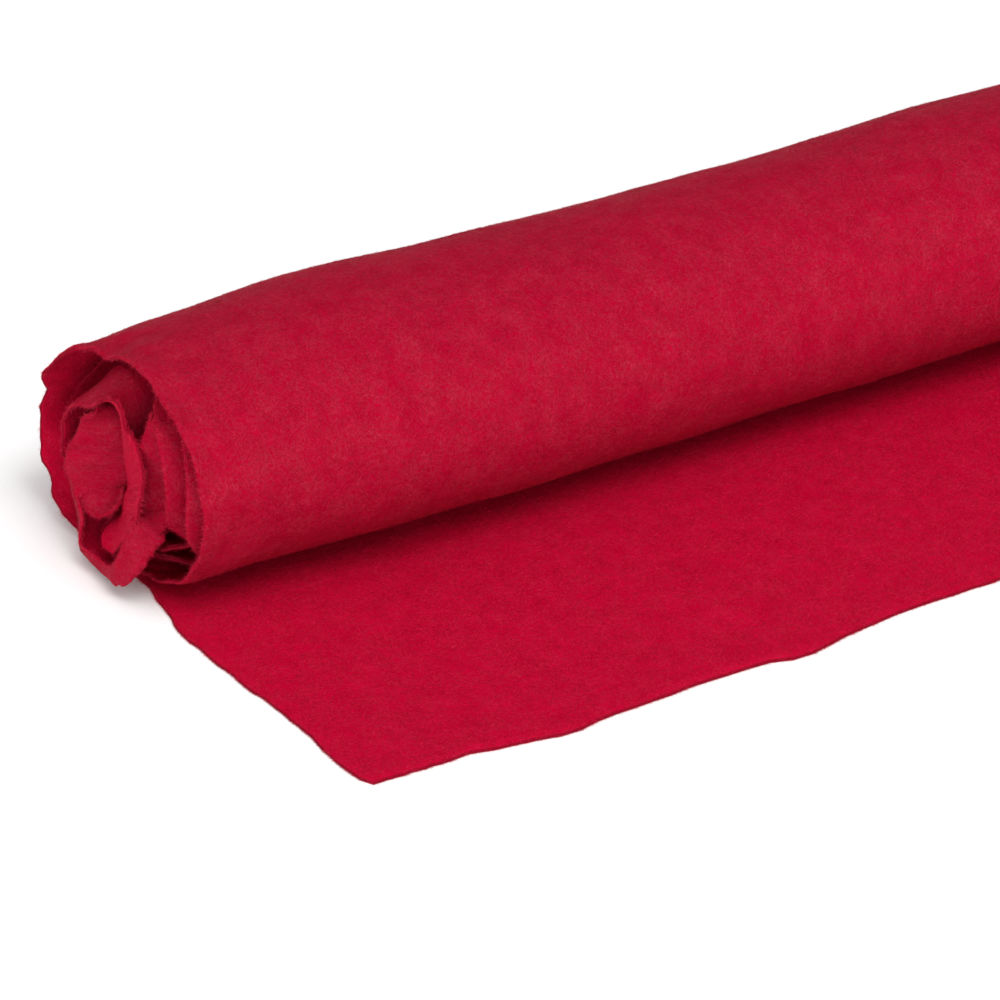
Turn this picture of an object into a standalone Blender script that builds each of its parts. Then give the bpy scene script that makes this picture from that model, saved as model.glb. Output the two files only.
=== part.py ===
"""A partly unrolled roll of red felt: one cut length of cloth wound loosely on itself.

The roll lies along X with its open end at the smaller X. The free end of the cloth
lies flat on the surface toward -Y, runs under the roll, rises at the back, passes over
the top and comes down the front, and goes on winding inwards. Z is up and the cloth
rests on Z = 0. Shape values are in millimetres and the finished solid is in metres.
"""
import math

import bpy
import numpy as np

MM = 0.001

# Cloth
CLOTH_THICKNESS = 1.2
CLOTH_WIDTH = 450.0
MID_THICKNESS = CLOTH_THICKNESS / 2
TURNS = 6.4

# Outline of the roll, a slightly flattened oval seen along X
OVAL_HALF_WIDTH = 51.1
OVAL_HALF_HEIGHT = 38.9
OVAL_MID_HEIGHT = 38.4
WINDING_Y = 8.0
WINDING_Z = 34.0

# How deep each wrap lies under the oval at the open end, a row for each wrap
#              low  back_low  back  back_high  top  front_high  front  front_low
WRAP_DEPTH = (
    (0.0, 0.0, 0.0, 3.0, 1.6, -2.0, 0.5, 3.0),
    (2.2, 3.2, 5.0, 6.0, 4.0, 1.5, 7.0, 10.5),
    (5.2, 6.5, 9.5, 9.2, 6.6, 6.0, 15.0, 17.0),
    (8.2, 10.0, 14.0, 13.0, 9.4, 11.5, 24.5, 22.5),
    (12.0, 17.5, 22.5, 18.5, 12.6, 16.5, 32.0, 27.5),
    (18.0, 23.0, 28.0, 26.0, 19.0, 24.5, 39.0, 32.0),
    (24.0, 29.0, 34.0, 34.0, 34.0, 42.0, 50.0, 38.0),
)

# How far each wrap's cut edge stands out past the open end, a row for each wrap
#              low  back_low  back  back_high  top  front_high  front  front_low
WRAP_PUSH = (
    (3.0, 9.0, 6.0, 4.0, 0.5, 0.0, 0.0, 0.0),
    (1.0, 4.0, 5.0, 0.0, -1.0, 1.0, 5.0, -5.0),
    (0.0, 3.0, 5.0, 1.0, 0.5, 4.0, 5.5, 10.0),
    (13.0, 12.0, 8.0, 3.0, 3.5, 5.0, 5.0, 4.0),
    (5.0, 9.0, 11.0, 11.5, 9.5, 7.0, 10.0, 12.0),
    (3.0, 4.0, 4.0, 3.0, 6.0, 10.0, 13.0, 12.0),
    (-1.0, -4.0, -5.0, -5.0, -5.0, -5.0, -5.0, -5.0),
)
DIRECTIONS = 8

# Space between wraps farther in, where the roll is even
#             low  back_low  back  back_high  top  front_high  front  front_low
WRAP_PITCH = (2.9, 4.0, 4.9, 5.2, 5.4, 6.2, 6.8, 4.6)
EVEN_FROM = 75.0
GOES_UNDER = 0.7
PUSH_FADES = 120.0
FAR_RECESS = 0.9

# Folds at the open end: place and half width in turns, depth pressed in, reach along
# X, how far the cut edge leans and where along X the lean begins
#    place  half   sink  reach  lean_y lean_z from
FOLDS = (
    (0.685, 0.080, -3.0, 60.0, 0.0, 0.0, 0.0),
    (0.487, 0.035, 2.2, 25.0, 0.0, 0.0, 0.0),
    (1.785, 0.050, 3.0, 25.0, 0.0, 0.0, 0.0),
    (2.810, 0.080, 0.0, 20.0, -6.0, -3.5, 0.0),
    (2.930, 0.120, 0.0, 20.0, -1.0, -8.5, -1.0),
    (3.090, 0.110, 0.0, 20.0, 2.0, -4.0, 0.0),
    (3.930, 0.080, 0.0, 20.0, 0.0, -2.0, 0.0),
    (4.450, 0.160, 0.0, 20.0, 0.0, -5.0, 0.0),
    (4.920, 0.110, 0.0, 20.0, 0.0, -6.0, -2.0),
    (5.550, 0.140, 0.0, 20.0, 0.0, -4.0, 0.0),
    (5.710, 0.240, 0.0, 20.0, 24.0, -1.0, 7.0),
)
FOLD_CARRIES = 0.7
LEAN_POWER = 1.3
LEAST_PUSH = 4.0

# Swell of the roll along its length
#    along   top   front
SWELL = (
    (0.0, -0.6, 0.0),
    (35.0, 1.0, 0.4),
    (76.0, 2.2, -0.4),
    (122.0, 0.5, -0.8),
    (170.0, -1.1, -0.4),
    (255.0, -1.2, 0.0),
    (320.0, 1.6, 0.8),
    (385.0, 1.2, 0.3),
    (450.0, -0.4, -0.3),
)

# Free end of the cloth: how far its side edge stands out past the roll's end
#     y      push
FREE_SIDE = (
    (-152.0, -3.6),
    (-147.0, -1.6),
    (-138.0, -0.2),
    (-115.0, 0.0),
    (-98.0, 1.1),
    (-80.0, 3.5),
    (-63.0, 4.9),
    (-46.0, 5.7),
    (-30.0, 3.3),
    (-15.0, 1.6),
    (8.0, 3.0),
)

# Free end of the cloth: its front edge
#    along    y
FREE_FRONT = (
    (0.0, -151.7),
    (34.0, -151.9),
    (50.0, -154.6),
    (69.0, -157.0),
    (87.0, -154.8),
    (128.0, -153.1),
    (144.0, -153.8),
    (154.0, -156.1),
    (178.0, -152.1),
    (197.0, -149.2),
    (235.0, -148.7),
    (300.0, -150.5),
    (380.0, -151.5),
    (450.0, -150.0),
)

# Soft ridges of the free end: where each is highest, its half sizes, its height
#    along    y    half_x half_y height
RIDGES = (
    (152.0, -158.0, 17.0, 52.0, 3.2),
    (72.0, -160.0, 24.0, 26.0, 1.2),
)

# Mesh
SHARP_ANGLE = 50.0
COLUMNS_PER_TURN = 24
FREE_COLUMNS = 12
STATIONS = (
    0.0, 4.0, 8.0, 13.0, 20.0, 32.0, 50.0, 80.0,
    115.0, 150.0, 185.0, 225.0, 270.0, 320.0, 385.0, 450.0,
)


def smooth(value):
    """Ease from 0 to 1."""
    value = min(max(value, 0.0), 1.0)
    return value * value * (3.0 - 2.0 * value)


def bump(offset):
    """Rise from 0 at -1 to 1 at 0 and fall back to 0 at 1."""
    return (1.0 - offset * offset) ** 2 if abs(offset) < 1.0 else 0.0


def curve(points, place):
    """Smooth curve through evenly spaced points."""
    last = len(points) - 1
    index = min(max(int(math.floor(place)), 0), last - 1)
    part = place - index
    before = points[max(index - 1, 0)]
    start = points[index]
    end = points[index + 1]
    after = points[min(index + 2, last)]
    rise = end - before
    bend = 2.0 * before - 5.0 * start + 4.0 * end - after
    twist = 3.0 * start - before - 3.0 * end + after
    return 0.5 * (2.0 * start + rise * part + bend * part ** 2 + twist * part ** 3)


def look_up(rows, place, column):
    """Read a column of a table between its rows, eased from row to row."""
    if place <= rows[0][0]:
        return rows[0][column]
    for low, high in zip(rows, rows[1:]):
        if place <= high[0]:
            share = (place - low[0]) / (high[0] - low[0])
            return low[column] + (high[column] - low[column]) * smooth(share)
    return rows[-1][column]


DEPTH_POINTS = [value for row in WRAP_DEPTH for value in row]
PUSH_POINTS = [value for row in WRAP_PUSH for value in row]
PITCH_POINTS = [WRAP_PITCH[-1]] + list(WRAP_PITCH) * 2


def oval_radius(angle):
    """Distance from the winding axis to the oval."""
    side = math.sin(angle)
    rise = -math.cos(angle)
    start_z = WINDING_Z - OVAL_MID_HEIGHT
    square = (side / OVAL_HALF_WIDTH) ** 2 + (rise / OVAL_HALF_HEIGHT) ** 2
    middle = WINDING_Y * side / OVAL_HALF_WIDTH ** 2 + start_z * rise / OVAL_HALF_HEIGHT ** 2
    constant = (WINDING_Y / OVAL_HALF_WIDTH) ** 2 + (start_z / OVAL_HALF_HEIGHT) ** 2 - 1.0
    return (-middle + math.sqrt(middle ** 2 - square * constant)) / square


def end_push(turn):
    """How far the cut edge stands out past the open end."""
    return curve(PUSH_POINTS, turn * DIRECTIONS)


def even_depth(turn):
    """Depth under the oval where the roll is even."""
    pitch = curve(PITCH_POINTS, (turn % 1.0) * DIRECTIONS + 1.0)
    inside = turn if turn > 1.0 else smooth((turn - GOES_UNDER) / (1.0 - GOES_UNDER))
    return pitch * inside


def fold_sink(turn, along):
    """Depth pressed in by the folds, carried on to the wraps inside each."""
    total = 0.0
    for place, half, sink, reach, lean_y, lean_z, start in FOLDS:
        wraps_in = round(turn - place)
        if wraps_in >= 0:
            share = bump((turn - place - wraps_in) / half) * FOLD_CARRIES ** wraps_in
            total += sink * share * (1.0 - smooth(along / reach))
    return total


def edge_lean(turn, along):
    """Sideways lean of the cloth near its cut edge."""
    lean = np.zeros(2)
    for place, half, sink, reach, lean_y, lean_z, start in FOLDS:
        share = bump((turn - place) / half)
        out = (start - along) / (max(end_push(turn), LEAST_PUSH) + start)
        if share > 0.0 and out > 0.0:
            lean += np.array((lean_y, lean_z)) * share * min(out, 1.0) ** LEAN_POWER
    return lean


def wound_point(turn, station):
    """Middle of the cloth's thickness, wound part, from the turn and place along X."""
    fade = max(0.0, 1.0 - station / PUSH_FADES)
    recess = FAR_RECESS * turn * smooth(station / CLOTH_WIDTH)
    along = station - end_push(turn) * fade - recess
    angle = 2.0 * math.pi * turn
    even = smooth(along / EVEN_FROM)
    depth = curve(DEPTH_POINTS, turn * DIRECTIONS) * (1.0 - even) + even_depth(turn) * even
    depth += fold_sink(turn, along)
    swell_top = look_up(SWELL, along, 1) * 0.5 * (1.0 - math.cos(angle))
    swell_front = look_up(SWELL, along, 2) * max(-math.sin(angle), 0.0)
    radius = oval_radius(angle) - depth
    lean_y, lean_z = edge_lean(turn, along)
    y = WINDING_Y + radius * math.sin(angle) + lean_y - swell_front
    z = WINDING_Z - radius * math.cos(angle) + lean_z + swell_top
    return along, y, max(z, MID_THICKNESS)


def free_point(share, station):
    """Middle of the cloth's thickness, free end, from its front edge to the roll."""
    front = look_up(FREE_FRONT, station, 1)
    y = front + (WINDING_Y - front) * share
    fade = max(0.0, 1.0 - station / PUSH_FADES)
    along = station - look_up(FREE_SIDE, y, 1) * fade
    z = MID_THICKNESS
    for ridge_x, ridge_y, half_x, half_y, height in RIDGES:
        z += height * bump((along - ridge_x) / half_x) * bump((y - ridge_y) / half_y)
    return along, y, z


def cloth_grid():
    """Middle surface of the whole cloth, a row for each place along its length."""
    rows = []
    for column in range(FREE_COLUMNS):
        share = column / FREE_COLUMNS
        rows.append([free_point(share, station) for station in STATIONS])
    for column in range(int(round(TURNS * COLUMNS_PER_TURN)) + 1):
        turn = column / COLUMNS_PER_TURN
        rows.append([wound_point(turn, station) for station in STATIONS])
    return np.array(rows)


def cloth_mesh(grid):
    """Thicken the middle surface into one closed sheet."""
    along_cloth = np.gradient(grid, axis=0)
    across_cloth = np.gradient(grid, axis=1)
    normal = np.cross(along_cloth, across_cloth)
    normal /= np.linalg.norm(normal, axis=2, keepdims=True)
    rows, columns = grid.shape[:2]
    faces_out = grid + normal * MID_THICKNESS
    faces_in = grid - normal * MID_THICKNESS
    points = np.concatenate((faces_out.reshape(-1, 3), faces_in.reshape(-1, 3)))
    other = rows * columns
    faces = []
    for row in range(rows - 1):
        for column in range(columns - 1):
            a = row * columns + column
            b = a + 1
            c = a + columns
            d = c + 1
            faces.append((a, c, d, b))
            faces.append((a + other, b + other, d + other, c + other))
    rim = [(row * columns, (row + 1) * columns) for row in range(rows - 1)]
    top = (rows - 1) * columns
    rim += [(top + column, top + column + 1) for column in range(columns - 1)]
    rim += [((row + 1) * columns + columns - 1, row * columns + columns - 1)
            for row in reversed(range(rows - 1))]
    rim += [(column + 1, column) for column in reversed(range(columns - 1))]
    for start, end in rim:
        faces.append((end, start, start + other, end + other))
    return points, faces


def felt_material():
    """Soft matt wool."""
    material = bpy.data.materials.new("felt")
    material.use_nodes = True
    shader = material.node_tree.nodes["Principled BSDF"]
    shader.inputs["Base Color"].default_value = (0.50, 0.012, 0.035, 1.0)
    shader.inputs["Roughness"].default_value = 0.95
    shader.inputs["Metallic"].default_value = 0.0
    return material


def build():
    """Make the roll as one solid, centred over the origin and resting on Z = 0."""
    for item in list(bpy.data.objects):
        bpy.data.objects.remove(item, do_unlink=True)
    points, faces = cloth_mesh(cloth_grid())
    points[:, 2] = np.maximum(points[:, 2], 0.0)
    middle = (points.min(axis=0) + points.max(axis=0)) / 2.0
    points[:, 0] -= middle[0]
    points[:, 1] -= middle[1]
    mesh = bpy.data.meshes.new("felt")
    mesh.from_pydata((points * MM).tolist(), [], faces)
    mesh.materials.append(felt_material())
    mesh.shade_smooth()
    mesh.set_sharp_from_angle(angle=math.radians(SHARP_ANGLE))
    mesh.validate()
    felt = bpy.data.objects.new("felt", mesh)
    bpy.context.scene.collection.objects.link(felt)


build()
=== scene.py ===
"""A partly unrolled roll of red wool felt, with its nap, and a plain stage for it.

The roll lies along X with its open end at the smaller X. The free end of the cloth lies
flat toward -Y, runs under the roll, rises at the back, passes over the top and comes down
the front, and goes on winding inwards. Shape values are in millimetres, seen from the
open end's plane and the middle of the roll; meshes are in metres in the part's frame.
"""

import math

import bpy
import numpy as np
from bpy.props import FloatProperty, FloatVectorProperty, IntProperty, PointerProperty
from bpy.types import Operator, Panel, PropertyGroup
from mathutils import Matrix, Vector


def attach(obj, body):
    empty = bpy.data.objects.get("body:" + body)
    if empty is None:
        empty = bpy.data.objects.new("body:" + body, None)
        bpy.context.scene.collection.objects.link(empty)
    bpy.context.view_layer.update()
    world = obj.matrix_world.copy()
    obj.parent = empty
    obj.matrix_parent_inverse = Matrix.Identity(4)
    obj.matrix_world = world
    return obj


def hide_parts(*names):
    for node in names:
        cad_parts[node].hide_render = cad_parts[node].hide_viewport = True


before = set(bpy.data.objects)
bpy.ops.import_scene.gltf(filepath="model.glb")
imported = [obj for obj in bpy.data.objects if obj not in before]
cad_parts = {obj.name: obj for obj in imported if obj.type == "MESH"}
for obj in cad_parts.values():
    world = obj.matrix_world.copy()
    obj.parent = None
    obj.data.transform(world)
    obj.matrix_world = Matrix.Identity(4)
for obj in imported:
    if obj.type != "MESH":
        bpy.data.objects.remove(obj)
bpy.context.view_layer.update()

bl_info = {
    "name": "Roll of Felt",
    "version": (1, 0, 0),
    "blender": (4, 5, 0),
    "location": "3D View > Sidebar > Felt",
    "description": "Builds a partly unrolled roll of wool felt with its nap",
    "category": "Object",
}

MM = 0.001

# Where the part's origin lies, from the open end's plane and the middle of the roll
ORIGIN_X = 218.0743
ORIGIN_Y = -52.0975

# Point on the floor that the camera looks at, measured in the same way
VIEW_X = 123.5
VIEW_Y = -23.3

# Outline of the roll, a slightly flattened oval seen along X
OVAL_HALF_WIDTH = 51.1
OVAL_HALF_HEIGHT = 38.9
OVAL_MID_HEIGHT = 38.4
WINDING_Y = 8.0
WINDING_Z = 34.0

# How deep each wrap lies under the oval just behind its cut edge, a row for each wrap
#             low  back_low  back  back_high  top  front_high  front  front_low
BODY_DEPTH = (
    (0.0, 0.0, 0.0, 2.6, 1.2, -1.5, 0.5, 2.0),
    (1.7, 2.2, 4.2, 4.6, 2.9, 2.5, 5.0, 7.0),
    (3.4, 4.2, 7.0, 6.8, 4.6, 7.0, 15.0, 12.0),
    (5.0, 6.2, 9.8, 9.0, 6.3, 13.0, 25.0, 19.0),
    (6.8, 8.8, 16.0, 15.0, 11.0, 36.3, 45.8, 28.2),
    (16.5, 16.6, 23.3, 22.7, 25.3, 43.3, 52.3, 36.7),
    (23.5, 23.1, 29.8, 29.7, 31.8, 43.8, 51.8, 36.2),
)

# How deep the cut edge itself lies
EDGE_DEPTH = (
    (0.0, -1.5, 0.0, 3.0, 1.6, -2.0, 0.5, 3.0),
    (2.0, 2.4, 4.5, 5.0, 3.2, 3.5, 5.8, 8.0),
    (3.8, 4.6, 7.5, 7.2, 4.9, 8.0, 16.5, 13.0),
    (5.6, 6.8, 10.5, 9.4, 6.6, 15.0, 26.0, 6.5),
    (1.9, 14.0, 20.6, 20.7, 18.5, 17.4, 29.6, 11.0),
    (20.0, 24.0, 28.0, 28.0, 28.0, 36.0, 47.0, 40.0),
    (24.0, 27.0, 31.0, 31.0, 31.0, 41.0, 51.0, 44.0),
)

# How far the cut edge stands out past the open end
EDGE_PUSH = (
    (3.0, 8.5, 6.0, 4.0, 0.5, 0.0, 0.0, 0.0),
    (1.0, 1.0, -1.0, -20.0, -18.0, -4.0, 3.0, -5.0),
    (-4.0, -4.0, -12.0, -22.0, -20.0, 1.0, 4.0, -4.0),
    (-5.0, -5.0, -12.0, -22.0, -20.0, 0.0, 4.0, 11.0),
    (12.0, 11.0, 8.5, 5.0, 5.0, 5.0, 6.0, 8.5),
    (0.0, -3.0, -4.0, 0.0, 4.0, 6.0, 11.0, 9.0),
    (2.0, -4.0, -5.0, -5.0, -5.0, -5.0, -5.0, -5.0),
)

# How far along X the turn-out of the cut edge begins
RIM_REACH = (
    (6.0, 4.0, 6.0, 6.0, 6.0, 6.0, 6.0, 6.0),
    (6.0, 6.0, 10.0, 28.0, 26.0, 10.0, 5.0, 10.0),
    (10.0, 10.0, 18.0, 28.0, 26.0, 8.0, 4.0, 10.0),
    (11.0, 11.0, 18.0, 28.0, 26.0, 10.0, 5.0, 2.0),
    (6.0, 4.0, 4.0, 6.0, 6.0, -1.5, -3.0, -3.0),
    (3.0, 8.0, 9.0, 8.0, 8.0, 8.0, 8.0, 8.0),
    (8.0, 8.0, 9.0, 9.0, 9.0, 9.0, 9.0, 9.0),
)
RIM_POWER = 1.2
LEAST_RIM = 2.0

# Cut edge of the inner wraps, one table for each stretch of it in turn
# Down the front to the lip
#    turn   push    y      z
FRONT_EDGE = (
    (3.66, 3, -25.0, 69.4),
    (3.69, 3, -18.3, 56.3),
    (3.715, 3, -13.2, 44.4),
    (3.74, 3, -12.4, 35.3),
    (3.76, 4, -14.2, 29.2),
)

# The lip that hangs to the floor
LIP_EDGE = (
    (3.785, 5, -31.1, 27.1),
    (3.82, 8, -33.3, 24.3),
    (3.865, 12, -31.0, 17.4),
    (3.9, 13, -25.6, 10.9),
    (3.94, 13.5, -17.1, 4.7),
    (3.98, 13.5, -7.2, 3.1),
    (4.02, 13.5, 3.5, 2.0),
    (4.05, 13.5, 11.3, 2.5),
    (4.08, 13, 14.0, 7.3),
    (4.12, 12, 14.8, 13.4),
)

# Up the back
BACK_EDGE = (
    (4.20, 10.0, 26.5, 28.5),
    (4.24, 9.0, 30.0, 30.5),
    (4.28, 8.0, 30.0, 35.0),
    (4.33, 7.0, 31.5, 41.0),
    (4.38, 6.0, 28.0, 46.5),
)

# Over the top and down the front as a turned-out ribbon
RIBBON_EDGE = (
    (4.43, 5.0, 22.5, 50.0),
    (4.53, 5.0, 8.0, 58.5),
    (4.60, 5.0, -4.5, 64.0),
    (4.66, 5.0, -13.0, 60.0),
    (4.73, 5.0, -18.5, 52.5),
    (4.80, 6.0, -22.5, 41.0),
    (4.86, 8.0, -20.5, 28.5),
    (4.89, 9.0, -15.5, 20.0),
    (4.915, 10.0, -8.0, 10.5),
    (4.935, 9, 0.5, 9.3),
    (4.955, 8, 3.7, 11.1),
    (4.975, 6, 5.3, 13.7),
    (5, 3, 6.1, 16.5),
    (5.03, -1, 8.8, 18.8),
)

# The stretch hidden behind the tongue
HIDDEN_EDGE = (
    (5.07, -5.0, 12.0, 16.0),
    (5.13, -7.0, 22.0, 18.0),
    (5.25, -7.0, 23.0, 34.0),
    (5.37, -2.0, 24.0, 50.0),
)

# The tongue folded over, from its top to its tip
TONGUE_EDGE = (
    (5.44, 4.0, 13.0, 53.0),
    (5.50, 7.0, 16.0, 49.5),
    (5.58, 9.0, 18.0, 43.0),
    (5.66, 10.0, 22.0, 36.0),
    (5.72, 11.0, 23.0, 31.0),
    (5.78, 11.0, 22.0, 27.0),
    (5.84, 11.0, 17.0, 24.0),
    (5.88, 11.0, 15.5, 20.0),
    (5.92, 10.0, 11.5, 18.5),
    (5.945, 9.5, 7.0, 18.0),
    (5.97, 8, 1.5, 21.0),
    (6, 6, -2.6, 25.5),
    (6.03, 3, -1.1, 27.1),
)

# The innermost wrap
CORE_EDGE = (
    (6.07, -3.0, 8.0, 25.5),
    (6.12, -8.0, 12.0, 26.0),
    (6.25, -12.0, 18.0, 34.0),
    (6.42, -12.0, 12.0, 45.0),
)
INNER_EDGE = (FRONT_EDGE + LIP_EDGE + BACK_EDGE + RIBBON_EDGE + HIDDEN_EDGE + TONGUE_EDGE
              + CORE_EDGE)
JOINS_OVER = 0.05
DIRECTIONS = 8

# Space between wraps farther in, where the roll is even
#             low  back_low  back  back_high  top  front_high  front  front_low
WRAP_PITCH = (2.9, 4.0, 4.9, 5.2, 5.4, 6.2, 6.8, 4.6)
EVEN_FROM = 75.0
GOES_UNDER = 0.7
PUSH_FADES = 120.0
FAR_RECESS = 0.9

# Folds pressed into the wraps near the open end, carried on to the wraps inside each:
# place and half width in turns, depth, and reach along X
#    place  half   sink  reach
FOLDS = (
    (0.685, 0.080, -3.0, 60.0),
    (0.487, 0.035, 2.2, 25.0),
    (5.810, 0.070, -3.0, 30.0),
    (5.600, 0.060, 2.0, 25.0),
)
FOLD_CARRIES = 0.7

# How much of the cloth stands up at the cut edge where it curls, and the point it
# leans toward
#    turn   curl    y      z
CURL = (
    (3.755, 0.0, 8.0, 34.0),
    (3.785, 12.5, 8.0, 36.0),
    (3.82, 16.0, 8.0, 36.0),
    (3.86, 13.5, 8.0, 34.0),
    (3.90, 9.5, 8.0, 34.0),
    (3.94, 7.0, 6.0, 30.0),
    (3.98, 6.0, 4.0, 24.0),
    (4.03, 7.0, 2.0, 20.0),
    (4.10, 8.0, 2.0, 20.0),
    (4.17, 4.0, 6.0, 26.0),
    (4.22, 0.0, 8.0, 34.0),
)
CURL_BEND = 0.12

# Nicks, points and tucks of the cut edge: place, half width and how far out
#    place  half    out
NICKS = (
    (0.320, 0.022, 1.4),
    (0.278, 0.020, -3.0),
    (0.196, 0.016, 1.2),
    (0.165, 0.020, -1.4),
    (1.810, 0.070, -8.0),
    (2.800, 0.060, -8.0),
)

# Swell of the roll along its length, and how evenly the front's share is spread round it
#    along   top   front
SWELL = (
    (0.0, -0.6, 0.0),
    (35.0, 1.0, 0.6),
    (76.0, 2.2, 3.6),
    (122.0, 0.5, 3.4),
    (170.0, -1.1, 1.6),
    (215.0, -1.2, 0.0),
    (255.0, -1.2, -0.2),
    (320.0, 1.6, -0.8),
    (385.0, 1.2, -0.6),
    (450.0, -0.4, -0.3),
)
FRONT_FULLNESS = 0.35

# Free end of the cloth: how far its side edge stands out past the roll's end
#     y      push
FREE_SIDE = (
    (-152.0, -3.6),
    (-147.0, -1.6),
    (-138.0, -0.2),
    (-115.0, 0.0),
    (-98.0, 1.1),
    (-80.0, 3.5),
    (-63.0, 4.9),
    (-46.0, 5.7),
    (-30.0, 3.3),
    (-15.0, 1.6),
    (8.0, 3.0),
)

# Free end of the cloth: its front edge
#    along    y
FREE_FRONT = (
    (0.0, -151.7),
    (34.0, -151.9),
    (50.0, -154.6),
    (69.0, -157.0),
    (87.0, -154.8),
    (128.0, -153.1),
    (144.0, -153.8),
    (154.0, -156.1),
    (178.0, -152.1),
    (197.0, -149.2),
    (235.0, -148.7),
    (300.0, -150.5),
    (380.0, -151.5),
    (450.0, -150.0),
)

# Soft ridges of the free end: where each is highest, its half sizes, its height
#    along    y    half_x half_y height
RIDGES = (
    (152.0, -112.0, 16.0, 36.0, 2.2),
    (72.0, -134.0, 24.0, 20.0, 0.9),
)

# Small waves of the cut edges: wavelength along the cloth and height, and the length
# of edge that a turn counts for
EDGE_WAVES = (
    (47.0, 0.16),
    (21.0, 0.16),
    (9.3, 0.14),
    (4.1, 0.10),
)
EDGE_PER_TURN = 160.0

# Small unevenness of the cloth's surface: wavelength along and across, and height. It
# starts behind the smooth stretch at the front edge and grows over the next one
SURFACE_WAVES = (
    (52.0, 71.0, 0.22),
    (31.0, 43.0, 0.14),
    (17.0, 23.0, 0.07),
)
LIES_SMOOTH = 30.0
UNEVEN_OVER = 140.0

# Small crumples near the open end: wavelength along and across the cloth, and height
CRUMPLES = (
    (37.0, 29.0, 0.45),
    (23.0, -19.0, 0.32),
    (13.0, 11.0, 0.20),
)
CRUMPLE_ZONE = 34.0
CRUMPLE_BEND = 1.3
CRUMPLE_BEND_LENGTH = 3.1

# Spacing of the cloth's mesh
FREE_COLUMNS = 40
OUTER_TURNS = 1.1
OUTER_COLUMNS = 100
COLUMNS_PER_TURN = 48
RIM_SPACING = 0.6
RIM_ZONE = 15.0
END_SPACING = 1.8
END_ZONE = 36.0
FAR_SPACING = 7.0
FAR_ZONE = 9.0
FAR_COLUMNS = 5
RIM_ROUNDING = 0.9

# Metres by which the inner side's pattern is shifted from the outer side's
INNER_SHIFT = 0.217

# Strokes of matted fibre: their directions in degrees, how much longer than wide they
# are, how they bend, the noise values between which they show, and their share of colour
STROKE_ANGLES = (18.0, 76.0, 131.0)
STROKE_STRETCH = 3.4
STROKE_BEND = 0.0016
STROKE_BEND_SCALE = 220.0
STROKE_RANGE = (0.46, 0.78)
STROKE_SHARE = 0.55

# Soft patches and their share of the relief, and broad patches of painted sheen, a pale
# pinkish colour standing in for the sheen of the wool, with its strength on the cloth and on the nap
PATCH_RANGE = (0.3, 0.7)
PATCH_RELIEF = 0.5
PAINTED_SHEEN_SCALE = 100.0
PAINTED_SHEEN_RANGE = (0.24, 0.80)
CLOTH_PAINTED_SHEEN = 1.9
NAP_PAINTED_SHEEN = 0.8

# Loose fibres: fineness of their shades, gloss and lengths as shares of the usual ones,
# fineness and thickness of their clumps, and the least height over the floor in metres
SHADE_SCALE = 1400.0
NAP_GLOSS = 6.0
FIBRE_LENGTHS = (0.5, 1.3)
CLUMP_SCALE = 75.0
CLUMP_RANGE = (0.38, 0.62)
CLUMP_AMOUNT = (0.45, 1.5)
SEED_STEP = 101
LEAST_HEIGHT = 0.0001

# Where the nap's pieces meet, in turns, and how far it reaches into the open end
BACK_NAP_TO = 0.42
FRONT_NAP_TO = 0.92
END_NAP = 30.0

# Least and most lift of an edge fibre in radians, and a long hair's share of the usual
EDGE_LIFT = (0.1, 1.0)
HAIR_LIFT = 0.6

# Half the floor's side and the lamps' distance, in metres
FLOOR_HALF = 4.0
LAMP_DISTANCE = 2.0


def smooth(value):
    """Ease from 0 to 1."""
    value = np.clip(value, 0.0, 1.0)
    return value * value * (3.0 - 2.0 * value)


def bump(offset):
    """Rise from 0 at -1 to 1 at 0 and fall back to 0 at 1."""
    return np.clip(1.0 - offset * offset, 0.0, None) ** 2


def curve(points, place):
    """Smooth curve through evenly spaced points."""
    points = np.asarray(points)
    last = len(points) - 1
    index = np.clip(np.floor(place).astype(int), 0, last - 1)
    part = place - index
    before = points[np.maximum(index - 1, 0)]
    start = points[index]
    end = points[index + 1]
    after = points[np.minimum(index + 2, last)]
    rise = end - before
    bend = 2.0 * before - 5.0 * start + 4.0 * end - after
    twist = 3.0 * start - before - 3.0 * end + after
    return 0.5 * (2.0 * start + rise * part + bend * part ** 2 + twist * part ** 3)


def look_up(rows, place, column):
    """Read a column of a table between its rows, eased from row to row."""
    table = np.array(rows)
    stops = table[:, 0]
    index = np.clip(np.searchsorted(stops, place, side="right") - 1, 0, len(rows) - 2)
    share = (place - stops[index]) / (stops[index + 1] - stops[index])
    low = table[index, column]
    return low + (table[index + 1, column] - low) * smooth(share)


def ripple(place, waves, phase):
    """Uneven small waves along an edge."""
    total = np.zeros_like(place)
    for number, (length, height) in enumerate(waves):
        turn = 2.0 * math.pi * place / length
        total += height * np.sin(turn + phase + 1.7 * number + np.sin(0.37 * turn + number))
    return total


BODY_POINTS = [value for row in BODY_DEPTH for value in row]
EDGE_POINTS = [value for row in EDGE_DEPTH for value in row]
PUSH_POINTS = [value for row in EDGE_PUSH for value in row]
REACH_POINTS = [value for row in RIM_REACH for value in row]
PITCH_POINTS = [WRAP_PITCH[-1]] + list(WRAP_PITCH) * 2


def oval_radius(angle):
    """Distance from the winding axis to the oval."""
    side = np.sin(angle)
    rise = -np.cos(angle)
    start_z = WINDING_Z - OVAL_MID_HEIGHT
    square = (side / OVAL_HALF_WIDTH) ** 2 + (rise / OVAL_HALF_HEIGHT) ** 2
    middle = WINDING_Y * side / OVAL_HALF_WIDTH ** 2 + start_z * rise / OVAL_HALF_HEIGHT ** 2
    constant = (WINDING_Y / OVAL_HALF_WIDTH) ** 2 + (start_z / OVAL_HALF_HEIGHT) ** 2 - 1.0
    return (-middle + np.sqrt(middle ** 2 - square * constant)) / square


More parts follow.
